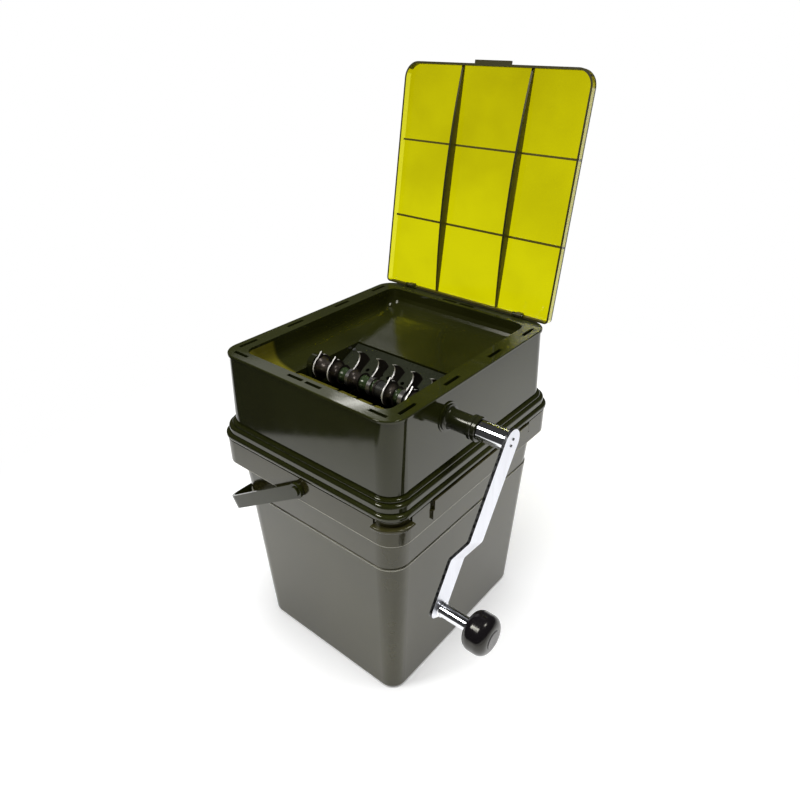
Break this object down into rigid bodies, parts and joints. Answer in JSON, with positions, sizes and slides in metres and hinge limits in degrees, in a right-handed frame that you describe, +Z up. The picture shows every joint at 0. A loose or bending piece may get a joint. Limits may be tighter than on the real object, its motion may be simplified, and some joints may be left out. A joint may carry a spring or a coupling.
{
  "type": "bait bucket",
  "caption": "Square bucket with a bail, a lift-off hopper with a hinged lid, and a hand crank that turns a clawed rotor to break up bait and drop it into the bucket",
  "frame": {"origin": "middle of the bucket's flat underside, on the surface it stands on", "axes": "+Z up; +X out of the crank's side; +Y towards the lid hinge"},
  "size_m": [0.37, 0.3483, 0.6444],
  "materials": {
    "bucket_plastic": "gloss",
    "bail_plastic": "gloss",
    "hopper_plastic": "gloss",
    "funnel_plastic": "gloss",
    "lid_plastic": "translucent",
    "gasket_rubber": "matt",
    "striker_paint": "satin",
    "comb_paint": "satin",
    "screw_steel": "satin",
    "housing_plastic": "satin",
    "ring_plastic": "satin",
    "bush_bronze": "satin",
    "shaft_steel": "satin",
    "claw_steel": "satin",
    "disc_steel": "satin",
    "spool_metal": "satin",
    "spool_green": "gloss",
    "spool_dark": "satin",
    "sleeve_chrome": "polished",
    "washer_black": "matt",
    "arm_aluminium": "satin",
    "knob_plastic": "gloss",
    "cap_plastic": "gloss"
  },
  "bodies": {
    "bucket_body": {"bucket": "bucket_plastic", "bail_pivot_studs": "bail_plastic"},
    "bail": {"bail_handle": "bail_plastic"},
    "hopper": {"rim_gasket": "gasket_rubber", "hopper_shell": "hopper_plastic", "lid_hinge_pins": "screw_steel", "feed_funnel": "funnel_plastic", "striker_plate": "striker_paint", "front_comb": "comb_paint", "striker_plate_screws": "screw_steel", "front_comb_screws": "screw_steel", "end_bearing": "housing_plastic", "end_bearing_screws": "screw_steel", "bearing_housing": "housing_plastic", "housing_nut": "housing_plastic", "bearing_bush": "bush_bronze", "lock_ring": "ring_plastic"},
    "lid_body": {"lid": "lid_plastic"},
    "crank": {"drive_shaft": "shaft_steel", "dark_spool": "spool_dark", "rotor_collar": "spool_dark", "spacer_ring": "spool_metal", "shaft_circlip": "screw_steel", "crank_sleeve": "sleeve_chrome", "sleeve_washer": "washer_black", "crank_arm": "arm_aluminium", "arm_pins": "washer_black", "knob_spindle": "sleeve_chrome", "stem_washer": "sleeve_chrome", "knob_retainer": "screw_steel", "claw_blade_1": "claw_steel", "metal_spool_1": "spool_metal", "green_spool_1": "spool_green", "claw_blade_2": "claw_steel", "metal_spool_2": "spool_metal", "green_spool_2": "spool_green", "claw_blade_3": "claw_steel", "metal_spool_3": "spool_metal", "green_spool_3": "spool_green", "claw_blade_4": "claw_steel", "metal_spool_4": "spool_metal", "green_spool_4": "spool_green", "claw_blade_5": "claw_steel", "metal_spool_5": "spool_metal", "green_spool_5": "spool_green", "guide_disc_1": "disc_steel", "guide_disc_2": "disc_steel", "guide_disc_3": "disc_steel", "guide_disc_4": "disc_steel"},
    "handle": {"knob": "knob_plastic", "knob_cap": "cap_plastic"}
  },
  "joints": [
    {"name": "bail_pivot", "type": "hinge", "parent": "bucket_body", "child": "bail", "pos_m": [0, 0, 0.262], "axis": [0, 1, 0], "range_deg": [0, 62]},
    {"name": "hopper_lift", "type": "slide", "parent": "bucket_body", "child": "hopper", "axis": [0, 0, 1], "range_m": [0, 0.02]},
    {"name": "lid_hinge", "type": "hinge", "parent": "hopper", "child": "lid_body", "pos_m": [0, 0.1365, 0.3834], "axis": [1, 0, 0], "range_deg": [0, 99.2]},
    {"name": "crank_turn", "type": "hinge", "parent": "hopper", "child": "crank", "pos_m": [0.12, -0.055, 0.3505], "axis": [1, 0, 0], "continuous": true},
    {"name": "knob_turn", "type": "hinge", "parent": "crank", "child": "handle", "pos_m": [0.22, -0.14256, 0.20478], "axis": [1, 0, 0], "continuous": true}
  ]
}
